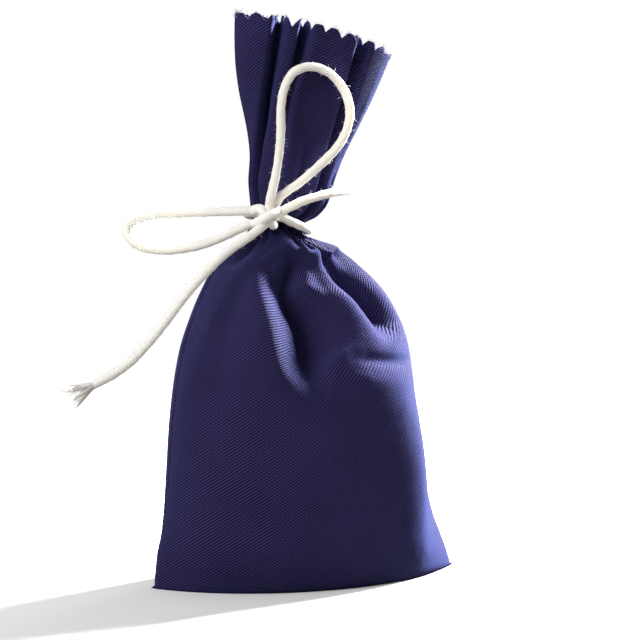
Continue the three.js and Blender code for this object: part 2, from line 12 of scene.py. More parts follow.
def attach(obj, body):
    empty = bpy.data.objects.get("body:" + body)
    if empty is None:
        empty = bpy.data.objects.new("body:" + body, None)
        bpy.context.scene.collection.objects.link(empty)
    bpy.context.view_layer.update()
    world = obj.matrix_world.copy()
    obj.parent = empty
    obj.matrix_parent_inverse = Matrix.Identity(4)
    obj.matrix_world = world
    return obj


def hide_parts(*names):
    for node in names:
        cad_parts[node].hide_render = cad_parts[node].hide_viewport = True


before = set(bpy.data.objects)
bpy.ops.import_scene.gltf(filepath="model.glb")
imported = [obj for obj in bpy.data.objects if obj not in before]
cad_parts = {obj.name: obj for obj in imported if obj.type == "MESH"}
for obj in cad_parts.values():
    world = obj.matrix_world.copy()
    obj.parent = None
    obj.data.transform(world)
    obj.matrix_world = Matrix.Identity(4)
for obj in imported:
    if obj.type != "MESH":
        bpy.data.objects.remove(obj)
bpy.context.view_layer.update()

MM = 0.001

# Camera
# A long lens looks at the front of the pouch from slightly left and above.
# It frames 640 by 640 pixels, at about 0.29 mm for each pixel on the cloth.
camera_azimuth = math.radians(-20)
camera_elevation = math.radians(8)
camera_distance = 924 * MM
frame_width = 190.5 * MM
aim_right = 4.6 * MM
aim_up = 76.3 * MM
sensor_width = 36.0

to_camera = Vector((
    math.sin(camera_azimuth) * math.cos(camera_elevation),
    -math.cos(camera_azimuth) * math.cos(camera_elevation),
    math.sin(camera_elevation),
))
camera_right = Vector((math.cos(camera_azimuth), math.sin(camera_azimuth), 0))
camera_up = to_camera.cross(camera_right)
camera_data = bpy.data.cameras.new("camera")
camera_data.sensor_width = sensor_width
camera_data.lens = sensor_width * camera_distance / frame_width
camera_data.clip_start = 10 * MM
camera_data.dof.use_dof = False
camera = bpy.data.objects.new("camera", camera_data)
camera.location = camera_right * aim_right + camera_up * aim_up + to_camera * camera_distance
camera.rotation_euler = to_camera.to_track_quat("Z", "Y").to_euler()
bpy.context.collection.objects.link(camera)
bpy.context.scene.camera = camera


# Cord
# One soft cream cotton cord, 2.7 mm thick: three strands with a slow twist and a fuzz of loose hairs.
# It goes once round the neck and is tied in a bow at the front left. Its loops and tails stand free.
cord_radius = 1.27 * MM
strand_count = 3
strand_swell = 0.03
twist_pitch = 11 * MM
cord_ring_step = 0.45 * MM
cord_sides = 24
curve_steps = 24
slow_wave, slow_share = 3.1 * MM, 0.03
quick_wave, quick_share = 1.3 * MM, 0.02


def smooth_route(points, step):
    """Evenly spaced points on a centripetal Catmull-Rom curve through the given ones."""
    knots = [np.array(p, float) for p in points]
    knots = [2 * knots[0] - knots[1]] + knots + [2 * knots[-1] - knots[-2]]
    fine = []
    for p0, p1, p2, p3 in zip(knots, knots[1:], knots[2:], knots[3:]):
        spans = (p1 - p0, p2 - p1, p3 - p2)
        d1, d2, d3 = (math.sqrt(max(np.linalg.norm(span), 1e-9)) for span in spans)
        m1 = (p1 - p0) / d1 - (p2 - p0) / (d1 + d2) + (p2 - p1) / d2
        m2 = (p2 - p1) / d2 - (p3 - p1) / (d2 + d3) + (p3 - p2) / d3
        for t in np.linspace(0, 1, curve_steps, endpoint=False):
            fine.append(
                (2 * t**3 - 3 * t**2 + 1) * p1 + (t**3 - 2 * t**2 + t) * d2 * m1
                + (3 * t**2 - 2 * t**3) * p2 + (t**3 - t**2) * d2 * m2
            )
    fine.append(knots[-2])
    fine = np.array(fine)
    along = np.concatenate([[0], np.cumsum(np.linalg.norm(np.diff(fine, axis=0), axis=1))])
    count = max(int(round(along[-1] / step)), 2)
    places = np.linspace(0, along[-1], count + 1)
    return np.stack([np.interp(places, along, fine[:, k]) for k in range(3)], axis=1), places


def route_frames(path):
    """Two directions across a path at each of its points, carried along without spin."""
    tangents = np.gradient(path, axis=0)
    tangents /= np.linalg.norm(tangents, axis=1)[:, None]
    across = np.cross(tangents[0], (0.2, 0.1, 1.0))
    firsts = []
    for tangent in tangents:
        across = across - tangent * across.dot(tangent)
        across = across / np.linalg.norm(across)
        firsts.append(across)
    firsts = np.array(firsts)
    return firsts, np.cross(tangents, firsts), tangents


def grid_mesh(name, points, uvs, wrapped=False, capped=False):
    """A mesh from one grid whose vertices are moved to the given places, with its own uv map."""
    rows, columns = points.shape[:2]
    bm = bmesh.new()
    bm.loops.layers.uv.new("cloth")
    bmesh.ops.create_grid(bm, x_segments=rows - 1, y_segments=columns - 1, size=1, calc_uvs=True)
    uv = bm.loops.layers.uv.active
    places = {}
    for vert in bm.verts:
        row = int(round((vert.co.x + 1) / 2 * (rows - 1)))
        column = int(round((vert.co.y + 1) / 2 * (columns - 1)))
        places[vert] = (row, column)
        vert.co = points[row, column]
    for face in bm.faces:
        for loop in face.loops:
            loop[uv].uv = uvs[places[loop.vert]]
    if wrapped:
        bmesh.ops.remove_doubles(bm, verts=bm.verts, dist=1e-6)
    if capped:
        bmesh.ops.holes_fill(bm, edges=[edge for edge in bm.edges if edge.is_boundary], sides=0)
    bmesh.ops.recalc_face_normals(bm, faces=bm.faces)
    for face in bm.faces:
        face.smooth = True
    mesh = bpy.data.meshes.new(name)
    bm.to_mesh(mesh)
    bm.free()
    piece = bpy.data.objects.new(name, mesh)
    bpy.context.collection.objects.link(piece)
    return piece


def cord_tube(name, points, radius=cord_radius, taper=None, sides=cord_sides, step=cord_ring_step):
    """A tube along a route, given in millimetres, slightly uneven, with the swell of its twisted strands."""
    path, along = smooth_route(np.array(points) * MM, step)
    first, second, _ = route_frames(path)
    angles = np.linspace(0, 2 * math.pi, sides + 1)
    angles[-1] = 0
    turn = angles[None, :] - 2 * math.pi * along[:, None] / twist_pitch
    swell = 1 + strand_swell * np.cos(strand_count * turn)
    wobble = 1 + slow_share * np.sin(along / slow_wave) + quick_share * np.sin(along / quick_wave + 1)
    size = radius * swell * wobble[:, None]
    if taper is not None:
        size = size * np.interp(along / along[-1], *zip(*taper))[:, None]
    ring = (
        np.cos(angles)[None, :, None] * first[:, None, :]
        + np.sin(angles)[None, :, None] * second[:, None, :]
    )
    shape = path[:, None, :] + ring * size[:, :, None]
    uvs = np.stack(np.broadcast_arrays(along[:, None], np.linspace(0, 1, sides + 1)[None, :]), axis=2)
    piece = grid_mesh(name, shape, uvs, wrapped=True, capped=True)
    return piece, path


def new_material(name, color, roughness):
    """A material with its shader, and its node tree to work in."""
    material = bpy.data.materials.new(name)
    material.use_nodes = True
    shader = material.node_tree.nodes["Principled BSDF"]
    shader.inputs["Base Color"].default_value = (*color, 1)
    shader.inputs["Roughness"].default_value = roughness
    return material, material.node_tree, shader


def add_node(tree, kind, values=None, **settings):
    """A node with its settings, and its input values by name."""
    node = tree.nodes.new(kind)
    for key, value in settings.items():
        setattr(node, key, value)
    for key, value in (values or {}).items():
        node.inputs[key].default_value = value
    return node


def math_node(tree, operation, first, second=None):
    """A math node fed with sockets or numbers."""
    node = tree.nodes.new("ShaderNodeMath")
    node.operation = operation
    for socket, value in zip(node.inputs, (first, second)):
        if value is None:
            continue
        if hasattr(value, "links"):
            tree.links.new(value, socket)
        else:
            socket.default_value = value
    return node.outputs[0]


yarns_per_strand = 5.0
cotton_color = (0.94, 0.92, 0.86)
cotton, tree, shader = new_material("cream_cotton", cotton_color, 0.92)
shader.inputs["Sheen Weight"].default_value = 0.4
shader.inputs["Subsurface Weight"].default_value = 0.5
shader.inputs["Subsurface Radius"].default_value = (2.4 * MM, 2.2 * MM, 1.9 * MM)
shader.inputs["Subsurface Scale"].default_value = 1.0
shader.inputs["Specular IOR Level"].default_value = 0.25
coords = add_node(tree, "ShaderNodeUVMap", uv_map="cloth")
split = add_node(tree, "ShaderNodeSeparateXYZ")
tree.links.new(coords.outputs["UV"], split.inputs[0])
# The strands' yarns wind round the cord: a phase made of the length along it and the turn about it
turn = math_node(tree, "MULTIPLY", split.outputs["Y"], strand_count * yarns_per_strand)
wind = math_node(tree, "MULTIPLY", split.outputs["X"], -strand_count * yarns_per_strand / twist_pitch)
phase = math_node(tree, "MULTIPLY", math_node(tree, "ADD", turn, wind), 2 * math.pi)
yarn = math_node(tree, "ABSOLUTE", math_node(tree, "SINE", phase))
space = add_node(tree, "ShaderNodeTexCoord")
fibre = add_node(tree, "ShaderNodeTexNoise", {"Scale": 1100.0, "Detail": 2.0, "Roughness": 0.6})
tree.links.new(space.outputs["Object"], fibre.inputs["Vector"])
mottle = add_node(tree, "ShaderNodeTexNoise", {"Scale": 160.0, "Detail": 3.0})
tree.links.new(space.outputs["Object"], mottle.inputs["Vector"])
height = math_node(tree, "ADD", math_node(tree, "MULTIPLY", yarn, 0.5), fibre.outputs["Fac"])
bump = add_node(tree, "ShaderNodeBump", {"Strength": 0.6, "Distance": 0.05 * MM})
tree.links.new(height, bump.inputs["Height"])
tree.links.new(bump.outputs["Normal"], shader.inputs["Normal"])
# The cotton is painted darker in the grooves between its yarns, as shade, and mottled at random
tint = add_node(tree, "ShaderNodeMix", data_type="RGBA")
tint.inputs["A"].default_value = (0.85, 0.8, 0.73, 1)
tint.inputs["B"].default_value = (0.92, 0.89, 0.825, 1)
groove_shade_and_mottle = math_node(tree, "MULTIPLY", math_node(tree, "ADD", yarn, mottle.outputs["Fac"]), 0.62)
tree.links.new(groove_shade_and_mottle, tint.inputs["Factor"])
tree.links.new(tint.outputs["Result"], shader.inputs["Base Color"])

upper_loop_route = [
    (-14.5, -10.6, 111), (-14.4, -11, 113.9), (-13, -11.5, 120.4), (-12, -12, 127.2),
    (-11.5, -12.3, 134), (-11.5, -12.4, 140.7), (-10.4, -12.4, 146.4), (-7.5, -12.3, 150.7),
    (-2.3, -12.2, 152.2), (3.3, -12.2, 150.2), (7.6, -12.2, 145.5), (9.6, -12.2, 139.6),
    (8.8, -12.2, 134.2), (6.2, -12.2, 129.4), (2.4, -12.2, 125.5), (-2.3, -12, 121.5),
    (-5.7, -11.5, 118.7), (-9, -10.5, 116.4), (-11.1, -9.4, 114.4), (-12, -8.5, 112.4),
]
left_loop_route = [
    (-15.4, -8.4, 110.8), (-19.3, -7, 110.8), (-26.8, -4, 110.4), (-35.5, 0, 110.1),
    (-43.8, 3.4, 109.6), (-50, 5, 108), (-52.9, 4.2, 105.2), (-51.4, 1.6, 101.7), (-45.8, -1.4, 99.8),
    (-38.4, -4.2, 100.2), (-30.8, -6.8, 102.2), (-23.6, -8.4, 105.4), (-19.4, -8.6, 107),
    (-15.4, -8.6, 107.5),
]
left_tail_route = [
    (-15.1, -11.1, 107.8), (-18.6, -12.8, 105.8), (-22.4, -13.5, 103.5), (-28.3, -14.5, 100.1),
    (-33.9, -15.7, 95.9), (-39.8, -17.2, 90.8), (-45, -18.4, 85.4), (-50, -19.6, 80),
    (-55, -20.6, 74.9), (-60, -21.5, 70.7), (-65.5, -22.1, 67.4), (-71, -22.4, 64.9),
]
right_tail_route = [
    (-13, -10.3, 109), (-11.6, -11.4, 110.4), (-8.9, -12.5, 111.9), (-4.7, -12.9, 113.7),
    (-0.1, -12.1, 114.7), (4.5, -10.5, 115.4), (8.6, -7.3, 115.6), (11.9, -3, 115.2),
    (14.5, 1.9, 114.4),
]


hairs_per_ring = 1.1
hair_lengths = (0.5 * MM, 1.5 * MM)
hair_width = 0.07 * MM
hair_lean = 1.4
hair_mess = 0.3
hair_root_share = 0.96


def loose_hairs(name, roots, ways, lengths, width):
    """One mesh of thin straight hairs, each a three-sided spike from its root along its way."""
    bm = bmesh.new()
    for root, way, length in zip(roots, ways, lengths):
        way = Vector(way).normalized()
        turn = way.to_track_quat("Z", "X").to_matrix().to_4x4()
        place = Matrix.Translation(Vector(root) + way * (length / 2)) @ turn
        bmesh.ops.create_cone(
            bm, cap_ends=True, segments=3, radius1=width / 2, radius2=width / 5, depth=length, matrix=place,
        )
    mesh = bpy.data.meshes.new(name)
    bm.to_mesh(mesh)
    bm.free()
    hairs = bpy.data.objects.new(name, mesh)
    bpy.context.collection.objects.link(hairs)
    return hairs


def cord_fuzz(name, path, count, seed):
    """Loose hairs all round a cord."""
    chance = np.random.default_rng(seed)
    first, second, tangents = route_frames(path)
    places = chance.integers(2, len(path) - 2, count)
    angles = chance.uniform(0, 2 * math.pi, count)
    out = first[places] * np.cos(angles)[:, None] + second[places] * np.sin(angles)[:, None]
    ways = out + tangents[places] * chance.uniform(-hair_lean, hair_lean, count)[:, None]
    ways = ways + chance.normal(0, hair_mess, (count, 3))
    roots = path[places] + out * cord_radius * hair_root_share
    hairs = loose_hairs(name, roots, ways, chance.uniform(*hair_lengths, count), hair_width)
    hairs.data.materials.append(cotton)
    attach(hairs, "root")
    return hairs


for name, route, far_end, node, taper in (
    ("upper_bow_loop", upper_loop_route, "object", "bow_loop_upper", None),
    ("left_bow_loop", left_loop_route, "object", "bow_loop_left", None),
    ("left_cord_tail", left_tail_route, "bare", "cord_tail_left", None),
    ("right_cord_tail", right_tail_route, "bare", "cord_tail_right", [(0, 1), (0.9, 1), (1, 0.8)]),
):
    tube, path = cord_tube(name, route, taper=taper)
    tube.data.materials.append(cotton)
    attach(tube, "root")
    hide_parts(node)
    fuzz = cord_fuzz(f"{name}_fuzz", path, int(len(path) * hairs_per_ring), len(name))


# Knot
# The same cotton cord where it crosses itself: five short strands, pulled tight at the neck's front left.
# The band grips the others, and the turn round the neck holds the cloth's gathers.
knot_strands = {
    "leg": [
        (-14.4, -10.8, 113.3), (-14.9, -11.2, 111.5), (-15.1, -11.4, 109.8), (-14.9, -12, 108.2),
        (-14, -11.4, 107.1), (-12.8, -9.3, 106.5), (-11.9, -7, 106.6),
    ],
    "turn": [
        (-19.3, -6.9, 110.6), (-18.2, -8.1, 111.1), (-17.4, -9.4, 111.6), (-16.7, -10.8, 111.2),
        (-16.1, -11.2, 110.1), (-15.4, -10.2, 108.7),
    ],
    "band": [
        (-11.6, -11.3, 110.9), (-13.4, -12.7, 110.3), (-15.5, -13.5, 109.7), (-17.1, -12.9, 108.8),
        (-18.3, -10.9, 107.8), (-19.4, -9.2, 107),
    ],
    "back_leg": [(-11.1, -9.4, 114.2), (-11.9, -8.5, 112.5), (-12.8, -7.6, 111), (-13.7, -7, 109.7)],
    "heart": [(-16.6, -8, 109.6), (-15.1, -9.1, 109.1), (-13.2, -9.7, 108.8), (-11.5, -9.2, 109)],
}
for name, route in knot_strands.items():
    strand, _ = cord_tube(f"knot_{name}", route)
    strand.data.materials.append(cotton)
    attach(strand, "root")
    if name == "band":
        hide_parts("bow_knot")

neck_middle = -8.4
wrap_radii = (9.2, 8.4)
tie_height = 106.5
tie_slope = 0.32
tie_pitch = 0.09
knot_angle = math.radians(237)
wrap_points, wrap_ends = 44, (0.01, 0.98)
overlap_lift, overlap_share = 1.3, 0.11
wrap_route = []
for share in np.linspace(*wrap_ends, wrap_points):
    angle = knot_angle + 2 * math.pi * share
    across = wrap_radii[0] * math.cos(angle)
    out = wrap_radii[1] * math.sin(angle)
    rise = overlap_lift * math.exp(-((share / overlap_share) ** 2))
    height = tie_height - tie_slope * across - tie_pitch * out + rise
    wrap_route.append((neck_middle + across, out, height))
wrap, _ = cord_tube("neck_wrap_cord", wrap_route)
wrap.data.materials.append(cotton)
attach(wrap, "root")
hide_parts("neck_wrap")


# Frayed end
# The cut end of the long tail has come apart into its cotton yarns.
# They start inside the cord's end and splay to the lower left.
yarn_count = 14
yarn_radius = 0.42 * MM
yarn_lengths = (5.5, 8.5)
yarn_spreads = (1.2, 3.6)
yarn_taper = [(0, 1), (0.6, 0.9), (1, 0.3)]
yarn_start, yarn_ring = 1.5, 0.6
yarn_grip, yarn_grip_splay = 1.6, 0.1
yarn_bend_share, yarn_bend_splay = 0.6, 0.35
fray_root = np.array(left_tail_route[-1])
fray_axis = fray_root - np.array(left_tail_route[-2])
fray_axis = fray_axis / np.linalg.norm(fray_axis)
fray_side = np.cross((0, 0, 1), fray_axis)
fray_side /= np.linalg.norm(fray_side)
fray_up = np.cross(fray_axis, fray_side)
shuffle = random.Random(5)
for number in range(yarn_count):
    angle = 2 * math.pi * number / yarn_count + shuffle.uniform(-0.2, 0.2)
    out = fray_side * math.cos(angle) + fray_up * math.sin(angle)
    length = shuffle.uniform(*yarn_lengths)
    spread = shuffle.uniform(*yarn_spreads)
    start = fray_root - fray_axis * yarn_start + out * yarn_ring
    route = [
        start,
        start + fray_axis * yarn_grip + out * yarn_grip_splay,
        start + fray_axis * length * yarn_bend_share + out * spread * yarn_bend_splay,
        start + fray_axis * (length + yarn_start) + out * spread,
    ]
    yarn_tube, _ = cord_tube(
        f"fray_yarn_{number + 1}", route, radius=yarn_radius, sides=10, step=0.3 * MM, taper=yarn_taper
    )
    yarn_tube.data.materials.append(cotton)
    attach(yarn_tube, "root")
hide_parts("frayed_end")


# Cloth panels
# Two panels of dark blue violet cotton twill, sewn along the sides and base and turned right side out.
# The filling rounds them below, the tie gathers them at the neck, and the flared mouth above it is cut
# with pinking shears. Each is one sheet, shaped by folds laid along paths and by gathers.
base_width, belly_depth = 94.6, 52.0
neck_width, neck_depth, neck_shift = 15.8, 14.0, -8.4
mouth_length, mouth_width, mouth_depth, mouth_shift, mouth_crown = 54.0, 48.6, 21.0, 2.9, 3.2
mouth_slope = 0.27
flat_width, flat_height = 106.0, 190.0
cloth_thickness = 0.5
cloth_columns = 212

# Height, width, depth, sideways shift and roundness of each section, below the tie and above it
body_shares = np.array([
    (0, 1, 0.68, 0, 0.3), (0.014, 1, 0.77, 0, 0.33), (0.088, 0.95, 0.9, 0.12, 0.45),
    (0.154, 0.89, 0.96, 0.2, 0.6), (0.286, 0.815, 1, 0.32, 0.9), (0.484, 0.742, 1, 0.42, 1),
    (0.648, 0.68, 0.92, 0.37, 1), (0.748, 0.588, 0.763, 0.38, 1), (0.814, 0.49, 0.605, 0.48, 1),
    (0.88, 0.347, 0.38, 0.68, 1), (0.913, 0.238, 0.262, 0.68, 1), (0.946, 0.149, 0.15, 0.52, 1),
    (0.973, 0.042, 0.05, 0.8, 1), (0.985, 0, 0, 1, 1), (1, 0, 0, 1, 1),
])
mouth_shares = np.array([
    (0, 0, 0, 0, 1), (0.03, 0, 0, 0, 1), (0.075, 0.13, 0.1, 0.16, 1), (0.155, 0.25, 0.2, 0.3, 1),
    (0.286, 0.31, 0.3, 0.42, 0.95), (0.415, 0.42, 0.45, 0.5, 0.9), (0.61, 0.66, 0.65, 0.62, 0.8),
    (0.74, 0.8, 0.8, 0.73, 0.75), (0.87, 0.91, 0.9, 0.86, 0.7), (1, 1, 1, 1, 0.7),
])


def ramp(value, start, end):
    t = np.clip((value - start) / (end - start), 0, 1)
    return t * t * (3 - 2 * t)


def table_value(table, column, place):
    """A smooth value between the rows of a table, by the number in its first column."""
    last = len(table) - 1
    at = int(np.clip(np.searchsorted(table[:, 0], place, side="right") - 1, 0, last - 1))

    def slope(row):
        before, after = table[max(row - 1, 0)], table[min(row + 1, last)]
        return (after[column] - before[column]) / (after[0] - before[0])

    run = table[at + 1, 0] - table[at, 0]
    t = min(max((place - table[at, 0]) / run, 0), 1)
    bend = t * t * (3 - 2 * t)
    lean = slope(at) * t * (1 - t) ** 2 - slope(at + 1) * t * t * (1 - t)
    return table[at, column] * (1 - bend) + table[at + 1, column] * bend + run * lean


def section(level):
    """One section of the pouch. Level 0 is the base, 1 the tie and 2 the mouth."""
    if level <= 1:
        values = [table_value(body_shares, k, level) for k in range(1, 5)]
        return {
            "z": tie_height * level,
            "half_width": (neck_width + (base_width - neck_width) * values[0]) / 2,
            "half_depth": (neck_depth + (belly_depth - neck_depth) * values[1]) / 2,
            "middle": neck_shift * values[2],
            "round": values[3],
            "slope": tie_slope * float(ramp(level, 0.9, 1)),
            "crown": 0.0,
        }
    above = level - 1
    values = [table_value(mouth_shares, k, above) for k in range(1, 5)]
    return {
        "z": tie_height + mouth_length * above,
        "half_width": (neck_width + (mouth_width - neck_width) * values[0]) / 2,
        "half_depth": (neck_depth + (mouth_depth - neck_depth) * values[1]) / 2,
        "middle": neck_shift + (mouth_shift - neck_shift) * values[2],
        "round": values[3],
        "slope": tie_slope + (mouth_slope - tie_slope) * above,
        "crown": mouth_crown * above,
    }


# Each fold is a path on the cloth: level, place across, depth, reach to its left, reach to its right, and
# lean to its right, the last four in millimetres. A depth below zero stands out. Places across run from
# -1 to 1. The depths of gathers and pleats are only shares: they grow until the spare width is used up.
front_folds = {
    "ridge": [
        (0.56, 0.02, -0.2, 6, 3.4, 0), (0.566, -0.065, -0.8, 6, 3.4, 0),
        (0.575, -0.155, -1.6, 7, 3.6, 0), (0.595, -0.235, -2.2, 8, 4, 0.4),
        (0.62, -0.295, -2.8, 9, 4.6, 0.8), (0.66, -0.337, -3, 10, 5.2, 1),
        (0.705, -0.362, -3.2, 11, 5.2, 1), (0.755, -0.4, -3.2, 11, 5, 1), (0.8, -0.43, -3, 10, 4.6, 1),
        (0.845, -0.457, -2.8, 7, 4, 0.6), (0.882, -0.463, -3, 3.6, 4, 0.4),
        (0.904, -0.43, -3.2, 2, 4.4, 0.4), (0.922, -0.36, -3.2, 1.6, 4.6, 0.4),
        (0.93, -0.28, -2.6, 1.5, 4.4, 0.3), (0.928, -0.2, -1.2, 1.5, 3.6, 0),
        (0.924, -0.14, -0.2, 1.5, 3, 0),
    ],
    "bank": [
        (0.568, 0.09, 0.8, 4, 7, 0), (0.58, 0.01, 2.2, 5, 8, 0), (0.602, -0.05, 3.6, 5.6, 8.5, 0),
        (0.632, -0.075, 4.6, 6.4, 8.5, 0), (0.664, -0.085, 5.2, 7, 8.5, 0),
        (0.71, -0.095, 5.6, 7.2, 8, 0), (0.745, -0.11, 5.6, 7, 7.5, 0), (0.78, -0.155, 5.2, 6.4, 7, 0),
        (0.81, -0.22, 4.6, 5.4, 6, 0), (0.845, -0.31, 3, 4, 5, 0), (0.88, -0.41, 1, 2.5, 3, 0),
    ],
    "pocket": [
        (0.58, 0.06, 1, 2.6, 8, 0), (0.6, -0.02, 3, 2.3, 9, -0.6), (0.63, -0.07, 5, 2.1, 9.5, -1),
        (0.665, -0.08, 6.2, 2, 9.5, -1.3), (0.709, -0.085, 7, 2, 9, -1.5),
        (0.742, -0.1, 7.4, 2, 8.5, -1.6), (0.768, -0.13, 7.4, 2, 8, -1.6),
        (0.802, -0.18, 7.2, 2, 7, -1.2), (0.832, -0.21, 6, 2, 6, -0.6), (0.858, -0.2, 4, 2, 5, -0.3),
        (0.88, -0.14, 3, 2, 4.4, 0), (0.9, -0.08, 2, 2, 4, 0), (0.918, -0.02, 1, 2, 3.4, 0),
        (0.93, 0.02, 0.2, 2, 3, 0),
    ],
    "streak": [
        (0.76, 0.125, -0.2, 4, 4, 0), (0.8, 0.115, -0.5, 4, 3.4, 0.2), (0.831, 0.1, -0.8, 3.6, 3, 0.3),
        (0.858, 0.09, -0.7, 3.4, 2.8, 0.2), (0.885, 0.07, -0.3, 3, 2.6, 0.1),
        (0.905, 0.05, 0, 2.6, 2.4, 0),
    ],
    "wide_hollow": [
        (0.6, 0.14, 0.2, 10, 12, 0), (0.64, 0.15, 1.2, 10, 12, 0), (0.69, 0.16, 2.6, 9, 11, 0),
        (0.77, 0.17, 4, 8, 10, 0), (0.83, 0.17, 4.4, 6.6, 9, 0), (0.87, 0.16, 4, 5.4, 7.4, 0),
        (0.9, 0.16, 2.8, 4.6, 6, 0), (0.93, 0.16, 1.2, 4, 5, 0), (0.95, 0.16, 0.2, 3, 4, 0),
    ],
    "valley": [
        (0.68, 0.69, 0.3, 7, 6, 0), (0.692, 0.68, 1.6, 7, 5.6, 0), (0.712, 0.67, 4.6, 6.6, 5.6, 0),
        (0.74, 0.67, 7.8, 6.6, 5.6, 0), (0.785, 0.665, 9.6, 6.6, 5.8, 0), (0.83, 0.66, 9.6, 6, 5.6, 0),
        (0.87, 0.625, 7.8, 5.6, 5.2, 0), (0.9, 0.59, 5.2, 5, 4.8, 0), (0.925, 0.54, 3, 4.4, 4.4, 0),
        (0.95, 0.5, 1.4, 3.6, 4, 0), (0.975, 0.45, 0.5, 3, 3, 0),
    ],
    "right_face": [
        (0.03, 0.6, -0.2, 10, 8, 0), (0.1, 0.62, -1.8, 11, 8, 0), (0.22, 0.64, -3, 12, 8, 0),
        (0.36, 0.66, -3.2, 12, 7.6, 0), (0.46, 0.68, -2, 11, 7, 0), (0.54, 0.7, -0.3, 10, 6, 0),
    ],
    "crease": [
        (0.608, 0.8, 0.2, 1.2, 1.4, 0), (0.612, 0.66, 0.9, 1.2, 1.6, 0), (0.622, 0.5, 1.1, 1.3, 1.8, 0),
        (0.634, 0.36, 0.8, 1.3, 2, 0), (0.645, 0.24, 0.2, 1.3, 2, 0),
    ],
    "lower_swell": [
        (0.535, 0.74, -0.4, 8, 4, 0), (0.55, 0.6, -1.2, 9, 4.4, 0), (0.562, 0.45, -1.6, 10, 4.6, 0),
        (0.575, 0.3, -1.4, 9, 4.4, 0), (0.585, 0.17, -0.5, 8, 4, 0),
    ],
    "bundle": [
        (0.962, -0.5, -0.4, 1.6, 1.4, 0), (0.955, -0.42, -1.4, 1.8, 1.6, 0),
        (0.95, -0.3, -2.2, 2, 1.7, 0), (0.94, -0.18, -1.8, 1.8, 1.6, 0),
        (0.93, -0.08, -0.6, 1.6, 1.4, 0),
    ],
    "tuck_bank": [
        (0.85, -0.29, 0.6, 3.4, 5, 0), (0.864, -0.24, 2.8, 4, 5, 0), (0.88, -0.18, 4.6, 4.6, 5, 0),
        (0.897, -0.12, 4.4, 4.6, 4.6, 0), (0.912, -0.07, 2.6, 4, 4, 0),
        (0.922, -0.03, 0.8, 3.4, 3.4, 0),
    ],
    "tuck_gap": [
        (0.874, -0.425, 0.3, 1.6, 1.6, 0), (0.863, -0.36, 1.2, 1.7, 1.8, 0),
        (0.853, -0.3, 1.8, 1.8, 2.2, 0), (0.846, -0.25, 1.2, 2, 2.4, 0), (0.842, -0.2, 0.2, 2, 2.4, 0),
    ],
    "left_dent": [
        (0.88, -0.608, 0.1, 4, 4, 0), (0.82, -0.608, 0.7, 5, 5, 0), (0.74, -0.607, 0.6, 6, 6, 0),
        (0.66, -0.607, 0.0, 6, 6, 0),
    ],
    "low_dent": [
        (0.5, 0.299, 0.0, 9, 9, 0), (0.42, 0.36, 0.9, 10, 9, 0), (0.3, 0.4, 0.8, 11, 9, 0),
        (0.2, 0.42, 0.0, 10, 9, 0),
    ],
}
front_gathers = {
    "gather_1": [
        (0.88, -0.78, 0, 3.0, 2.4, 0), (0.94, -0.76, 0.6, 1.6, 1.4, 0), (1.0, -0.74, 1.0, 0.9, 0.9, 0),
    ],
    "gather_2": [
        (0.93, -0.57, 0, 1.6, 1.6, 0), (0.97, -0.56, 0.7, 1.1, 1.1, 0), (1.0, -0.55, 1.0, 0.9, 0.9, 0),
    ],
    "gather_3": [
        (0.95, -0.36, 0, 1.4, 1.4, 0), (0.98, -0.36, 0.8, 1.0, 1.0, 0), (1.0, -0.36, 1.0, 0.9, 0.9, 0),
    ],
    "gather_4": [
        (0.94, -0.02, 0, 1.4, 1.4, 0), (0.97, -0.04, 0.8, 1.0, 1.0, 0), (1.0, -0.06, 1.0, 0.9, 0.9, 0),
    ],
    "gather_5": [
        (0.93, 0.22, 0, 1.8, 1.8, 0), (0.96, 0.22, 0.5, 1.4, 1.4, 0), (1.0, 0.24, 1.0, 0.9, 0.9, 0),
    ],
    "gather_6": [
        (0.84, 0.5, 0, 4, 4, 0), (0.9, 0.5, 0.3, 3, 3, 0), (0.95, 0.5, 0.6, 1.8, 1.8, 0),
        (1.0, 0.52, 1.0, 0.9, 0.9, 0),
    ],
    "gather_7": [
        (0.84, 0.85, 0, 3, 3, 0), (0.9, 0.84, 0.25, 2, 2, 0), (0.95, 0.82, 0.5, 1.3, 1.3, 0),
        (1.0, 0.8, 1.0, 0.9, 0.9, 0),
    ],
}
front_pleats = {
    "pleat_1": [
        (1.0, -0.74, 0.6, 0.9, 0.9, 0), (1.15, -0.84, 0.7, 0.9, 0.9, 0), (1.32, -0.8, 0.8, 0.9, 1.0, 0),
        (1.49, -0.66, 0.9, 0.9, 1.1, 0), (1.70, -0.55, 1.0, 1.0, 1.3, 0), (2.0, -0.5, 1.1, 1.1, 1.5, 0),
    ],
    "pleat_2": [
        (1.0, -0.4, 0.6, 0.9, 0.9, 0), (1.3, -0.4, 0.35, 1.2, 1.4, 0), (1.6, -0.3, 0.4, 1.4, 1.6, 0),
        (1.8, -0.24, 0.7, 1.2, 1.6, 0), (2.0, -0.22, 0.8, 1.2, 1.6, 0),
    ],
    "pleat_3": [
        (1.0, 0.02, 0.6, 0.9, 0.9, 0), (1.2, 0.0, 0.4, 1.3, 1.3, 0), (1.4, 0.02, 0.2, 1.8, 1.8, 0),
        (1.7, 0.06, 0.05, 3.0, 3.0, 0), (2.0, 0.1, 0.05, 4.0, 4.0, 0),
    ],
    "pleat_4": [
        (1.0, 0.36, 0.6, 0.9, 0.9, 0), (1.2, 0.46, 0.6, 1.0, 1.0, 0), (1.5, 0.52, 0.9, 1.4, 1.0, 0),
        (1.75, 0.51, 1.2, 1.7, 1.1, 0), (2.0, 0.5, 1.4, 1.9, 1.1, 0),
    ],
    "pleat_5": [
        (1.0, 0.72, 0.6, 0.9, 0.9, 0), (1.2, 0.8, 0.3, 1.0, 1.0, 0), (1.4, 0.82, 0, 1.2, 1.2, 0),
        (2.0, 0.84, 0, 1.4, 1.4, 0),
    ],
}
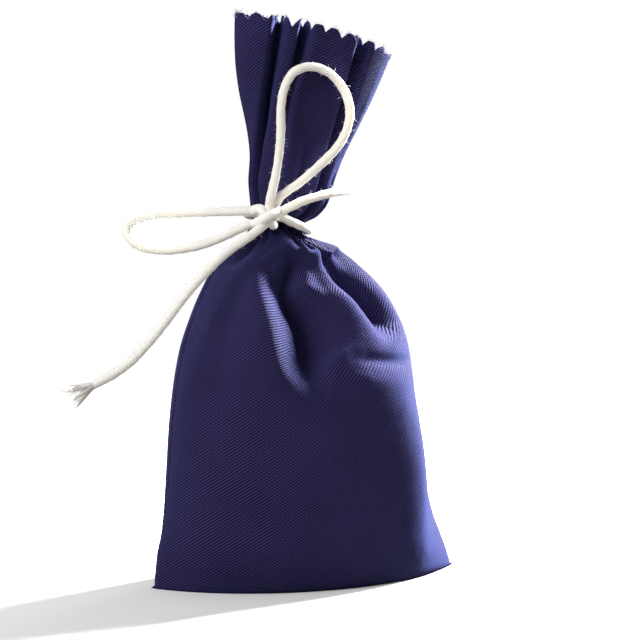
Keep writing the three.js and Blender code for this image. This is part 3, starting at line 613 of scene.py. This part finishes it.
back_folds = {
    "long_fold": [
        (0.95, 0.02, 1.6, 1.6, 1.8, 0), (0.9, 0.04, 4.2, 2.4, 3.4, 0), (0.84, 0.07, 5.6, 3.2, 5.0, 0),
        (0.76, 0.1, 4.4, 4.0, 7.0, 0), (0.68, 0.13, 2.0, 5.0, 8.0, 0), (0.6, 0.15, 0.0, 6.0, 8.0, 0),
    ],
    "long_ridge": [
        (0.93, -0.12, -0.6, 2.6, 1.8, 0.6), (0.87, -0.1, -1.8, 4.0, 2.4, 1.4),
        (0.8, -0.06, -2.0, 5.0, 3.0, 1.4), (0.72, -0.02, -1.2, 6.0, 3.4, 0.8),
        (0.64, 0.0, 0.0, 6.0, 4.0, 0),
    ],
    "side_fold": [
        (0.95, -0.42, 1.2, 1.6, 1.4, 0), (0.9, -0.4, 3.0, 2.8, 2.4, 0), (0.83, -0.42, 3.4, 4.0, 3.4, 0),
        (0.75, -0.45, 1.8, 5.5, 5.0, 0), (0.68, -0.46, 0.0, 6.0, 6.0, 0),
    ],
    "right_fold": [
        (0.95, 0.45, 1.2, 1.4, 1.6, 0), (0.9, 0.47, 2.6, 2.4, 2.8, 0), (0.84, 0.52, 2.8, 3.4, 3.6, 0),
        (0.77, 0.56, 1.2, 4.6, 4.6, 0), (0.7, 0.58, 0.0, 5.0, 5.0, 0),
    ],
    "low_dent": [
        (0.46, -0.3, 0.0, 9, 9, 0), (0.36, -0.34, 0.9, 10, 9, 0), (0.24, -0.36, 0.7, 11, 9, 0),
        (0.14, -0.38, 0.0, 10, 9, 0),
    ],
}
back_gathers = {
    f"back_gather_{k + 1}": [
        (start, place, 0, 2.4, 2.4, 0), ((start + 1) / 2, place, 0.6, 1.4, 1.4, 0),
        (1.0, place, 1.0, 0.9, 0.9, 0),
    ]
    for k, (start, place) in enumerate((
        (0.88, -0.8), (0.92, -0.62), (0.9, -0.25), (0.93, 0.02), (0.88, 0.27), (0.92, 0.5), (0.9, 0.76),
    ))
}
back_pleats = {
    f"back_pleat_{k + 1}": [
        (1.0, low, 0.6, 0.9, 0.9, 0), (1.3, (low + high) / 2, 0.6, 1.2, 1.2, 0),
        (1.6, high, 0.8, 1.6, 1.6, 0),
        (2.0, high, depth, 2.0, 2.0, 0),
    ]
    for k, (low, high, depth) in enumerate((
        (-0.7, -0.62, 0.9), (-0.35, -0.2, 1.0), (0.02, 0.2, 0.8), (0.4, 0.56, 1.0), (0.75, 0.85, 0.3),
    ))
}
section_points, fine_columns = 1201, 600
fold_steps, fold_window, fold_margin_rows = 12, 13, 30
seam_fade = (0.4, 4.0)
seam_pull_depth, seam_pull_reach = 1.0, 0.9
quick_pucker, quick_pucker_share = 0.9, 0.35
slow_pucker, slow_pucker_share = 0.37, 0.25
seam_clearance = 0.5
# How deep a gather may grow, in millimetres: on the body, and how much more it may at the mouth
body_spare, mouth_spare, mouth_spare_levels = 4.4, 5.6, (1.05, 1.9)
gather_tries, gather_window = 10, 7


def plain_row(level, side):
    """A section without folds, its places spread evenly along the cloth."""
    shape = section(level)
    spots = np.linspace(-1, 1, section_points)
    turn = spots * math.pi / 2
    flat, curved = 1 - shape["round"], shape["round"]
    x = shape["middle"] + shape["half_width"] * (flat * spots + curved * np.sin(turn))
    y = side * shape["half_depth"] * (flat * (1 - spots**2) + curved * np.cos(turn))
    z = shape["z"] + shape["crown"] * (1 - spots**2) - shape["slope"] * (x - shape["middle"])
    return spread_evenly(np.stack([x, y, z], axis=1), fine_columns)


def spread_evenly(curve, count):
    arcs = np.concatenate([[0], np.cumsum(np.linalg.norm(np.diff(curve, axis=0), axis=1))])
    places = np.linspace(0, arcs[-1], count + 1)
    return np.stack([np.interp(places, arcs, curve[:, k]) for k in range(3)], axis=1)


def fold_field(rows, levels, normals, side, folds):
    """How the folds move each place of the cloth: inwards along its normal, and across each path."""
    moved = np.zeros_like(rows)
    spots = np.linspace(-1, 1, rows.shape[1])
    for table in folds.values():
        table = np.array(table, float)
        if table[0, 0] > table[-1, 0]:
            table = table[::-1]
        # The path is drawn finely and evened out before the cloth is measured from it
        rough = np.arange(len(table))
        fine = np.linspace(0, len(table) - 1, fold_steps * len(table))
        knots = np.stack([np.interp(fine, rough, table[:, k]) for k in range(6)], axis=1)
        for k in range(6):
            padded = np.pad(knots[:, k], fold_window // 2, mode="edge")
            knots[:, k] = np.convolve(padded, np.ones(fold_window) / fold_window, mode="valid")
        row_at = np.interp(knots[:, 0], levels, np.arange(len(levels)))
        column_at = np.interp(knots[:, 1], spots, np.arange(len(spots)))
        low_row = np.clip(row_at.astype(int), 0, len(levels) - 2)
        low_column = column_at.astype(int)
        part = (row_at - low_row)[:, None]
        path = rows[low_row, low_column] * (1 - part) + rows[low_row + 1, low_column] * part
        tangents = np.gradient(path, axis=0)
        tangents /= np.linalg.norm(tangents, axis=1)[:, None]
        first = max(int(row_at.min()) - fold_margin_rows, 0)
        last = min(int(row_at.max()) + fold_margin_rows, len(levels))
        area = rows[first:last]
        away = area[:, :, None, :] - path[None, None, :, :]
        distance = np.linalg.norm(away, axis=3)
        nearest = distance.argmin(axis=2)
        near = np.take_along_axis(distance, nearest[:, :, None], axis=2)[:, :, 0]
        offset = area - path[nearest]
        right = np.cross(tangents[nearest], normals[first:last]) * -side
        share = 0.5 + 0.5 * np.sum(offset * right, axis=2) / np.maximum(near, 1e-6)
        values = knots[nearest]
        reach = values[..., 3] * (1 - share) + values[..., 4] * share
        bell = np.exp(-((near / reach) ** 2))
        moved[first:last] -= normals[first:last] * (values[..., 2] * bell)[:, :, None]
        moved[first:last] += right * (values[..., 5] * bell)[:, :, None]
    return moved


def soften(field):
    """Evens out a field of moves over about a millimetre each way."""
    for axis, count in ((1, 9), (0, 3)):
        margins = [(0, 0), (0, 0), (0, 0)]
        margins[axis] = (count // 2, count // 2)
        padded = np.pad(field, margins, mode="edge")
        field = np.lib.stride_tricks.sliding_window_view(padded, count, axis=axis).mean(axis=-1)
    return field


def gather_field(rows, levels, normals, gathers):
    """The folds that take up the spare width, at a strength of one."""
    moved = np.zeros_like(rows)
    for number, level in enumerate(levels):
        arcs = np.concatenate([[0], np.cumsum(np.linalg.norm(np.diff(rows[number], axis=0), axis=1))])
        half = arcs[-1] / 2
        inward = np.zeros(rows.shape[1])
        for table in gathers.values():
            table = np.array(table, float)
            if table[0, 0] <= level <= table[-1, 0]:
                place, depth, left, right = (table_value(table, k, level) for k in range(1, 5))
                off = arcs - half * (1 + place)
                inward += depth * np.exp(-((off / np.where(off < 0, left, right)) ** 2))
        moved[number] = -normals[number] * inward[:, None]
    return moved


def panel_rows(side, folds, gathers, pleats):
    """The panel's rows from the bottom seam to the mouth, each spread evenly over the cloth's width."""
    # The first row is the base seam, and the rows above it are closest round the deep folds and the tie
    levels = np.concatenate([
        [-0.0001], np.linspace(0, 0.06, 8), np.linspace(0.06, 0.55, 52)[1:],
        np.linspace(0.55, 1.02, 72)[1:], np.linspace(1.02, 2.0, 66)[1:],
    ])
    rows = np.array([plain_row(max(level, 0), side) for level in levels])
    rows[0, :, 1] = 0
    upward = np.gradient(rows, axis=0)
    upward[:2] = (0, 0, 1)
    normals = np.cross(np.gradient(rows, axis=1), upward) * -side
    normals /= np.linalg.norm(normals, axis=2)[:, :, None]
    column = np.arange(fine_columns + 1)
    edge = np.minimum(column, column[::-1]) / fine_columns * flat_width
    fade = ramp(edge, *seam_fade)[None, :, None]
    shaped = rows + soften(fold_field(rows, levels, normals, side, folds)) * fade
    both = dict(gathers)
    both.update(pleats)
    spare = gather_field(rows, levels, normals, both) * fade
    # Each row's gathers deepen until the row is as long as the flat cloth is wide
    strengths = []
    for number, level in enumerate(levels):
        low, high = 0.0, body_spare + mouth_spare * float(ramp(level, *mouth_spare_levels))
        for _ in range(gather_tries):
            strength = (low + high) / 2
            trial = shaped[number] + spare[number] * strength
            length = np.linalg.norm(np.diff(trial, axis=0), axis=1).sum()
            low, high = (strength, high) if length < flat_width else (low, strength)
        strengths.append(strength)
    strengths = np.pad(strengths, gather_window // 2, mode="edge")
    strengths = np.convolve(strengths, np.ones(gather_window) / gather_window, mode="valid")
    shaped = shaped + spare * strengths[:, None, None]
    # The seam pulls both edges in by a thread's width, and puckers a little along its length
    tall = np.array(levels)[:, None] * tie_height
    pucker = 1 + quick_pucker_share * np.sin(tall * quick_pucker + side)
    pucker = pucker + slow_pucker_share * np.sin(tall * slow_pucker)
    seam_pull = seam_pull_depth * np.exp(-((edge / seam_pull_reach) ** 2))[None, :] * pucker
    shaped = shaped - normals * seam_pull[:, :, None]
    # The panels stay apart between the seams, and the base seam sits just above the floor
    least = np.where(edge < seam_clearance, 0.0, seam_clearance)[None, :]
    shaped[:, :, 1] = side * np.maximum(side * shaped[:, :, 1], least)
    shaped[0, :, 1] = 0
    shaped[:, :, 2] = np.maximum(shaped[:, :, 2], 0)
    shaped[0, :, 2] = cloth_thickness
    return np.array([spread_evenly(row, cloth_columns) for row in shaped])


teeth = 18
tooth_depth, tooth_roundness = 2.6, 0.8
tooth_wear = 0.12
tooth_unevenness = 0.25
cut_reach = 14


def pinked_edge(rows, seed, drop):
    """Cuts the top of the rows to a run of rounded teeth, each a little different."""
    chance = np.random.default_rng(seed)
    spot = np.linspace(0, teeth, rows.shape[1])
    wave = np.abs(np.sin(math.pi * spot))
    notch = tooth_depth * (1 - wave**tooth_roundness) + chance.normal(0, tooth_wear, rows.shape[1])
    lift = np.interp(spot, np.arange(teeth + 1), chance.normal(0, tooth_unevenness, teeth + 1))
    steps = np.linalg.norm(np.diff(rows, axis=0), axis=2)
    heights = np.concatenate([np.zeros((1, rows.shape[1])), np.cumsum(steps, axis=0)])
    cut = rows.copy()
    lowered = np.zeros(rows.shape[:2])
    for column in range(rows.shape[1]):
        total = heights[-1, column]
        start = total - cut_reach
        dip = drop * math.sin(math.pi * column / (rows.shape[1] - 1))
        goal = total - notch[column] - lift[column] - dip
        wanted = heights[:, column].copy()
        high = wanted > start
        wanted[high] = start + (wanted[high] - start) * (goal - start) / (total - start)
        lowered[:, column] = heights[:, column] - wanted
        for k in range(3):
            cut[:, column, k] = np.interp(wanted, heights[:, column], rows[:, column, k])
    return cut, lowered


# Where the cloth turns over into the deep fold its weave is pulled round. Height, left end, right end and
# pull, in millimetres.
turn_margin, turn_fade = 2, 16
turned_cloth = np.array([
    (58, -12, -2, 0), (64, -16.5, -6.5, 2.2), (70, -19, -8, 4), (78, -19.8, -9.6, 5),
    (85, -20.6, -12.5, 4.6), (90, -20.8, -14.6, 3), (95, -21, -17, 0),
])


def rib_turn(rows):
    """How far the weave is pulled up the cloth along the bank of the deep fold, which levels its ribs."""
    across, height = rows[..., 0], rows[..., 2]
    left, right, pull = (np.interp(height, turned_cloth[:, 0], turned_cloth[:, k]) for k in (1, 2, 3))
    rise = np.clip((across - left) / (right - left), 0, 1)
    fall = np.clip((across - right - turn_margin) / turn_fade, 0, 1)
    return pull * rise * (1 - fall)


# The weave is counted up from the third row above the base seam
weave_row, weave_start = 3, 20


def panel(name, side, folds, gathers, pleats, seed, drop):
    """A cloth panel and its rows. Its uv map is the flat cloth in metres."""
    smooth = panel_rows(side, folds, gathers, pleats)
    rows, cut = pinked_edge(smooth, seed, drop)
    steps = np.median(np.linalg.norm(np.diff(smooth, axis=0), axis=2), axis=1)
    heights = np.concatenate([[0], np.cumsum(steps)])
    heights = (heights - heights[weave_row] + weave_start)[:, None] - cut
    if side < 0:
        heights = heights + rib_turn(rows)
    across = np.broadcast_to(np.linspace(0, flat_width, rows.shape[1])[None, :], heights.shape)
    piece = grid_mesh(name, rows * MM, np.stack([across, heights], axis=2) * MM)
    if sum(face.normal.y * face.area for face in piece.data.polygons) * side < 0:
        piece.data.flip_normals()
    return piece, rows


# The twill's colour runs from painted shade in the grooves between its ribs to the lighter colour on their
# crowns
twill_groove_shade = (0.0035, 0.0022, 0.009)
twill_light = (0.048, 0.038, 0.132)
twill, tree, shader = new_material("blue_violet_twill", twill_light, 0.55)
shader.inputs["Sheen Weight"].default_value = 0.2
shader.inputs["Sheen Roughness"].default_value = 0.5
shader.inputs["Sheen Tint"].default_value = (0.2, 0.32, 1.0, 1)
shader.inputs["Specular IOR Level"].default_value = 0.04
shader.inputs["Specular Tint"].default_value = (0.3, 0.38, 1.0, 1)
rib_pitch = 0.8 * MM
rib_angle = math.radians(33)
thread_pitch = 0.42 * MM
coords = add_node(tree, "ShaderNodeUVMap", uv_map="cloth")
split = add_node(tree, "ShaderNodeSeparateXYZ")
tree.links.new(coords.outputs["UV"], split.inputs[0])
wander = add_node(tree, "ShaderNodeTexNoise", {"Scale": 220.0, "Detail": 2.0})
tree.links.new(coords.outputs["UV"], wander.inputs["Vector"])
over = math_node(tree, "MULTIPLY", split.outputs["X"], -math.sin(rib_angle) / rib_pitch)
along = math_node(tree, "MULTIPLY", split.outputs["Y"], math.cos(rib_angle) / rib_pitch)
stray = math_node(tree, "MULTIPLY", wander.outputs["Fac"], 0.35)
count = math_node(tree, "ADD", math_node(tree, "ADD", over, along), stray)
rib = math_node(tree, "SINE", math_node(tree, "MULTIPLY", count, 2 * math.pi))
rib = math_node(tree, "MULTIPLY", math_node(tree, "ADD", rib, 1.0), 0.5)
thread = math_node(tree, "MULTIPLY", split.outputs["Y"], 2 * math.pi / thread_pitch)
thread = math_node(tree, "SINE", thread)
thread = math_node(tree, "MULTIPLY", math_node(tree, "ADD", thread, 1.0), 0.5)
space = add_node(tree, "ShaderNodeTexCoord")
fibre = add_node(tree, "ShaderNodeTexNoise", {"Scale": 2500.0, "Detail": 3.0, "Roughness": 0.7})
tree.links.new(space.outputs["Object"], fibre.inputs["Vector"])
cloudy = add_node(tree, "ShaderNodeTexNoise", {"Scale": 45.0, "Detail": 4.0})
tree.links.new(space.outputs["Object"], cloudy.inputs["Vector"])
height = math_node(tree, "ADD", rib, math_node(tree, "MULTIPLY", thread, 0.25))
height = math_node(tree, "ADD", height, math_node(tree, "MULTIPLY", fibre.outputs["Fac"], 0.3))
bump = add_node(tree, "ShaderNodeBump", {"Strength": 1.0, "Distance": 0.2 * MM})
tree.links.new(height, bump.inputs["Height"])
tree.links.new(bump.outputs["Normal"], shader.inputs["Normal"])
# The ribs are painted lighter on their crowns and darker in their grooves, as shade, and a cloudy tone
# varies at random over the cloth
tint = add_node(tree, "ShaderNodeMix", data_type="RGBA")
tint.inputs["A"].default_value = (*twill_groove_shade, 1)
tint.inputs["B"].default_value = (*twill_light, 1)
clouds = math_node(tree, "MULTIPLY", cloudy.outputs["Fac"], 0.3)
lift = math_node(tree, "ADD", math_node(tree, "MULTIPLY", rib, 0.75), clouds)
tree.links.new(lift, tint.inputs["Factor"])
tree.links.new(tint.outputs["Result"], shader.inputs["Base Color"])

loose_thread, tree, shader = new_material("loose_twill_thread", (0.05, 0.045, 0.13), 0.8)
shader.inputs["Sheen Weight"].default_value = 0.2
space = add_node(tree, "ShaderNodeTexCoord")
speckle = add_node(tree, "ShaderNodeTexNoise", {"Scale": 900.0, "Detail": 1.0})
tree.links.new(space.outputs["Object"], speckle.inputs["Vector"])
tint = add_node(tree, "ShaderNodeMix", data_type="RGBA")
tint.inputs["A"].default_value = (0.03, 0.025, 0.09, 1)
tint.inputs["B"].default_value = (0.12, 0.11, 0.26, 1)
tree.links.new(speckle.outputs["Fac"], tint.inputs["Factor"])
tree.links.new(tint.outputs["Result"], shader.inputs["Base Color"])

# The pinked edge sheds short threads, and longer ones at its corners
edge_threads, corner_threads, corner_columns = 260, 12, 5
short_threads, long_threads = (0.4, 1.3), (1.2, 3.0)
thread_mess = 0.55
thread_root = 0.15 * MM
thread_width = 0.12 * MM
cloth_rows = {}
for name, side, folds, gathers, pleats, node, seed, drop in (
    ("front_cloth", -1, front_folds, front_gathers, front_pleats, "front_panel", 11, 0.0),
    ("back_cloth", 1, back_folds, back_gathers, back_pleats, "back_panel", 12, 2.6),
):
    cloth, cloth_rows[name] = panel(name, side, folds, gathers, pleats, seed, drop)
    cloth.data.materials.append(twill)
    wall = cloth.modifiers.new("wall", "SOLIDIFY")
    wall.thickness = cloth_thickness * MM
    wall.offset = -1
    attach(cloth, "root")
    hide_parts(node)
    chance = np.random.default_rng(seed + 20)
    rim = cloth_rows[name][-1] * MM
    below = cloth_rows[name][-4] * MM
    spots = np.concatenate([
        chance.integers(0, len(rim), edge_threads),
        chance.integers(0, corner_columns, corner_threads),
        len(rim) - 1 - chance.integers(0, corner_columns, corner_threads),
    ])
    lengths = np.concatenate([
        chance.uniform(*short_threads, edge_threads), chance.uniform(*long_threads, 2 * corner_threads),
    ]) * MM
    ways = rim[spots] - below[spots]
    ways = ways / np.linalg.norm(ways, axis=1)[:, None] + chance.normal(0, thread_mess, (len(spots), 3))
    threads = loose_hairs(f"{name}_threads", rim[spots] - ways * thread_root, ways, lengths, thread_width)
    threads.data.materials.append(loose_thread)
    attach(threads, "root")


# Filling
# Dried lavender buds, packed loose inside the pouch, from the base to the gathers under the tie.
# One closed body stands for them. It keeps clear of the cloth's folds, which hide it.
fill_gap, fill_floor = 1.6, 0.9
side_gap_share, most_drawn_share = 1.2, 0.4
clear_rows, clear_columns = 2, 4
buds, tree, shader = new_material("dried_buds", (0.2, 0.16, 0.17), 1.0)
space = add_node(tree, "ShaderNodeTexCoord")
grains = add_node(tree, "ShaderNodeTexVoronoi", {"Scale": 260.0})
tree.links.new(space.outputs["Object"], grains.inputs["Vector"])
tint = add_node(tree, "ShaderNodeMix", data_type="RGBA")
tint.inputs["A"].default_value = (0.12, 0.08, 0.13, 1)
tint.inputs["B"].default_value = (0.42, 0.34, 0.26, 1)
tree.links.new(grains.outputs["Color"], tint.inputs["Factor"])
tree.links.new(tint.outputs["Result"], shader.inputs["Base Color"])


def innermost(depths):
    """The deepest place of a panel within a few rows and columns, which keeps the filling off its folds."""
    wide = np.pad(depths, ((clear_rows, clear_rows), (clear_columns, clear_columns)), mode="edge")
    window = (2 * clear_rows + 1, 2 * clear_columns + 1)
    return np.lib.stride_tricks.sliding_window_view(wide, window).max(axis=(2, 3))


fill_rows, fill_columns = slice(3, 103, 3), slice(6, -6, 4)
fronts = cloth_rows["front_cloth"][fill_rows, fill_columns].copy()
backs = cloth_rows["back_cloth"][fill_rows, fill_columns].copy()
fronts[:, :, 1] = innermost(fronts[:, :, 1])
backs[:, :, 1] = -innermost(-backs[:, :, 1])
loops = []
for front, back in zip(fronts, backs):
    ring = np.concatenate([front, back[::-1]])
    middle = ring.mean(axis=0)
    out = ring - middle
    out[:, 2] = 0
    far = np.linalg.norm(out, axis=1)[:, None]
    drawn = np.minimum(fill_gap * side_gap_share, far * most_drawn_share)
    ring = ring - out / np.maximum(far, 1e-6) * drawn
    deep = np.where(np.arange(len(ring)) < len(front), 1.0, -1.0) * fill_gap
    ring[:, 1] += deep
    ring[ring[:, 1] * deep > 0, 1] = 0
    loops.append(ring)
loops = np.array(loops)
loops[:, :, 2] = np.clip(loops[:, :, 2], fill_floor, None)
loops = np.concatenate([loops, loops[:, :1]], axis=1) * MM
uvs = np.zeros((*loops.shape[:2], 2))
filling = grid_mesh("dried_lavender_filling", loops, uvs, wrapped=True, capped=True)
filling.data.materials.append(buds)
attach(filling, "root")
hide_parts("lavender_filling")


# Studio
# A plain pale floor that the camera sees as white farther out, and a white world.
# A key light from behind right, a weak rim beside it and a broad fill from the front left.
floor_color = (0.9, 0.9, 0.89)
bounce_color = (0.11, 0.105, 0.1)
white_from, white_to = 0.13, 0.4
world_strength = 0.42
floor_bm = bmesh.new()
bmesh.ops.create_grid(floor_bm, x_segments=1, y_segments=1, size=3)
floor_mesh = bpy.data.meshes.new("floor")
floor_bm.to_mesh(floor_mesh)
floor_bm.free()
floor = bpy.data.objects.new("floor", floor_mesh)
bpy.context.collection.objects.link(floor)
paper, tree, shader = new_material("pale_floor", floor_color, 0.9)
shader.inputs["Specular IOR Level"].default_value = 0.0
shader.inputs["Emission Color"].default_value = (1, 1, 1, 1)
# Far from the pouch the camera sees the floor as white, and close to it as lit paper with its shadow.
# All other rays meet the darker bounce colour, so the floor throws little light back on the cloth
space = add_node(tree, "ShaderNodeTexCoord")
distance = add_node(tree, "ShaderNodeVectorMath", operation="LENGTH")
tree.links.new(space.outputs["Object"], distance.inputs[0])
spread = add_node(
    tree, "ShaderNodeMapRange", {"From Min": white_from, "From Max": white_to},
    interpolation_type="SMOOTHSTEP",
)
tree.links.new(distance.outputs["Value"], spread.inputs["Value"])
path = add_node(tree, "ShaderNodeLightPath")
white = math_node(tree, "MULTIPLY", spread.outputs["Result"], path.outputs["Is Camera Ray"])
seen_floor = add_node(tree, "ShaderNodeMix", data_type="RGBA")
seen_floor.inputs["A"].default_value = (*bounce_color, 1)
seen_floor.inputs["B"].default_value = (*floor_color, 1)
tree.links.new(path.outputs["Is Camera Ray"], seen_floor.inputs["Factor"])
tint = add_node(tree, "ShaderNodeMix", data_type="RGBA")
tree.links.new(seen_floor.outputs["Result"], tint.inputs["A"])
tint.inputs["B"].default_value = (0, 0, 0, 1)
tree.links.new(white, tint.inputs["Factor"])
tree.links.new(tint.outputs["Result"], shader.inputs["Base Color"])
tree.links.new(white, shader.inputs["Emission Strength"])
floor_mesh.materials.append(paper)

world = bpy.data.worlds.new("studio")
bpy.context.scene.world = world
world.use_nodes = True
tree = world.node_tree
tree.nodes.clear()
light_path = add_node(tree, "ShaderNodeLightPath")
seen = add_node(tree, "ShaderNodeBackground", {"Color": (1, 1, 1, 1), "Strength": 1.0})
soft = add_node(tree, "ShaderNodeBackground", {"Color": (1, 1, 1, 1), "Strength": world_strength})
choose = add_node(tree, "ShaderNodeMixShader")
output = add_node(tree, "ShaderNodeOutputWorld")
tree.links.new(light_path.outputs["Is Camera Ray"], choose.inputs["Fac"])
tree.links.new(soft.outputs[0], choose.inputs[1])
tree.links.new(seen.outputs[0], choose.inputs[2])
tree.links.new(choose.outputs[0], output.inputs["Surface"])


def area_light(name, place, aim, size, power):
    data = bpy.data.lights.new(name, "AREA")
    data.shape = "RECTANGLE"
    data.size, data.size_y = size
    data.energy = power
    lamp = bpy.data.objects.new(name, data)
    lamp.location = place
    lamp.rotation_euler = (Vector(place) - Vector(aim)).to_track_quat("Z", "Y").to_euler()
    bpy.context.collection.objects.link(lamp)


area_light("key_light", (0.79, 0.27, 0.66), (0, 0, 0.08), (0.2, 0.26), 84)
area_light("right_rim", (0.75, 0.6, 0.25), (0, 0, 0.1), (0.3, 0.5), 4)
area_light("left_fill", (-1.5, -0.7, 0.92), (0, 0, 0.08), (0.8, 0.9), 27)

bpy.context.scene.view_settings.view_transform = "Standard"
